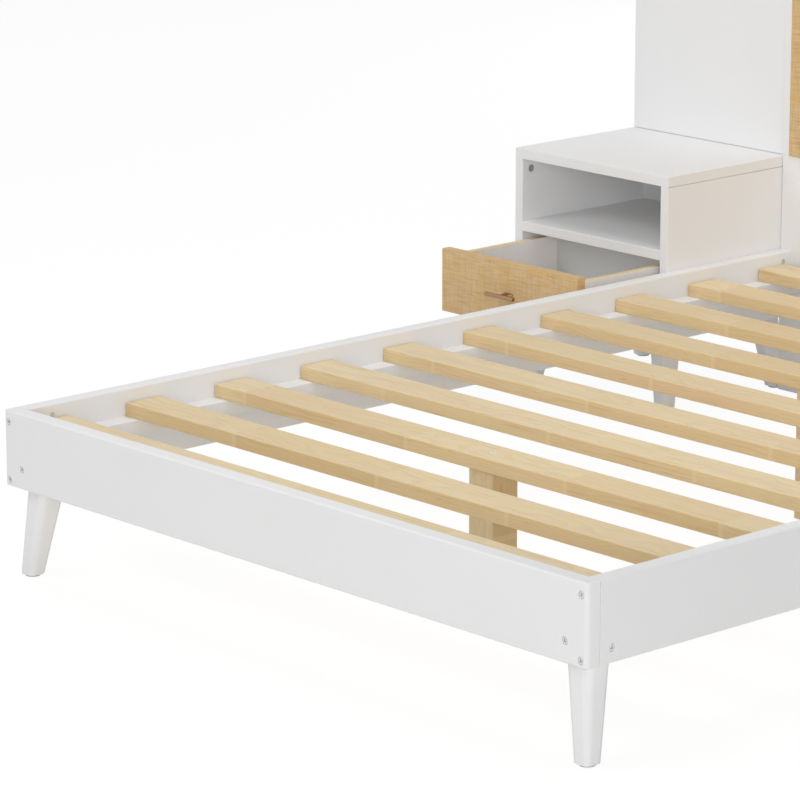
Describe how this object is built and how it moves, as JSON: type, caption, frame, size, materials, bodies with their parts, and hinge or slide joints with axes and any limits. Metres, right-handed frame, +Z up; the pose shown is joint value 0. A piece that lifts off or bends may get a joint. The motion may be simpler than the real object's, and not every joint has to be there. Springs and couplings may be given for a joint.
{
  "type": "platform bed with nightstands",
  "caption": "Low platform bed with a slatted deck, a wide headboard with a woven panel, and a nightstand with a sliding drawer on each side.",
  "frame": {"origin": "on the floor, under the middle of the whole object's bounding box", "axes": "+X across the bed, to the right as seen from its foot; +Y from the foot board to the headboard; +Z up"},
  "size_m": [2.307, 2.034, 1.04],
  "materials": {
    "white_paint": "white lacquer, satin",
    "pine": "bare pine, finger-jointed",
    "drawer_wood": "pale laminate with bare wooden edges",
    "grey_board": "grey faced board, matt",
    "woven": "woven cane look, matt",
    "copper": "brushed copper-brown",
    "slide_steel": "zinc plated",
    "fastener_steel": "zinc plated, satin",
    "glide_plastic": "moulded, dark"
  },
  "bodies": {
    "bed": {"foot_board": "white_paint", "left_side_rail": "white_paint", "right_side_rail": "white_paint", "left_ledger": "white_paint", "right_ledger": "white_paint", "slat_01": "pine", "slat_02": "pine", "slat_03": "pine", "slat_04": "pine", "slat_05": "pine", "slat_06": "pine", "slat_07": "pine", "slat_08": "pine", "slat_09": "pine", "slat_10": "pine", "front_left_leg": "white_paint", "front_right_leg": "white_paint", "centre_post_front": "pine", "centre_post_rear": "pine", "headboard_left_post": "white_paint", "headboard_right_post": "white_paint", "headboard_top_rail": "white_paint", "headboard_low_rail": "white_paint", "headboard_panel": "white_paint", "woven_panel": "woven", "left_wing": "white_paint", "right_wing": "white_paint", "left_stand_top": "white_paint", "left_stand_outer_side": "white_paint", "left_stand_inner_side": "white_paint", "left_stand_shelf": "white_paint", "left_stand_floor": "white_paint", "left_stand_back": "white_paint", "left_stand_legs": "white_paint", "right_stand_top": "white_paint", "right_stand_outer_side": "white_paint", "right_stand_inner_side": "white_paint", "right_stand_shelf": "white_paint", "right_stand_floor": "white_paint", "right_stand_back": "white_paint", "right_stand_legs": "white_paint", "slide_channels": "slide_steel", "frame_bolts": "fastener_steel", "barrel_nuts": "fastener_steel", "cam_locks": "fastener_steel", "foot_glides": "glide_plastic"},
    "left_drawer": {"left_drawer_front": "woven", "left_drawer_sides": "drawer_wood", "left_drawer_back": "grey_board", "left_drawer_bottom": "grey_board", "left_drawer_pull": "copper", "left_slide_runners": "slide_steel"},
    "left_slide_cages": {"left_slide_cages": "slide_steel"},
    "right_drawer": {"right_drawer_front": "woven", "right_drawer_sides": "drawer_wood", "right_drawer_back": "grey_board", "right_drawer_bottom": "grey_board", "right_drawer_pull": "copper", "right_slide_runners": "slide_steel"},
    "right_slide_cages": {"right_slide_cages": "slide_steel"}
  },
  "joints": [
    {"name": "left_drawer_slide", "type": "slide", "parent": "bed", "child": "left_drawer", "axis": [0, -1, 0], "range_m": [-0.228, 0]},
    {"name": "left_cage_slide", "type": "slide", "parent": "bed", "child": "left_slide_cages", "axis": [0, -1, 0], "range_m": [-0.114, 0]},
    {"name": "right_drawer_slide", "type": "slide", "parent": "bed", "child": "right_drawer", "axis": [0, -1, 0], "range_m": [0, 0.228]},
    {"name": "right_cage_slide", "type": "slide", "parent": "bed", "child": "right_slide_cages", "axis": [0, -1, 0], "range_m": [0, 0.114]}
  ],
  "couplings": [
    {"joint": "left_cage_slide", "follows": "left_drawer_slide", "ratio": 0.5},
    {"joint": "right_cage_slide", "follows": "right_drawer_slide", "ratio": 0.5}
  ]
}
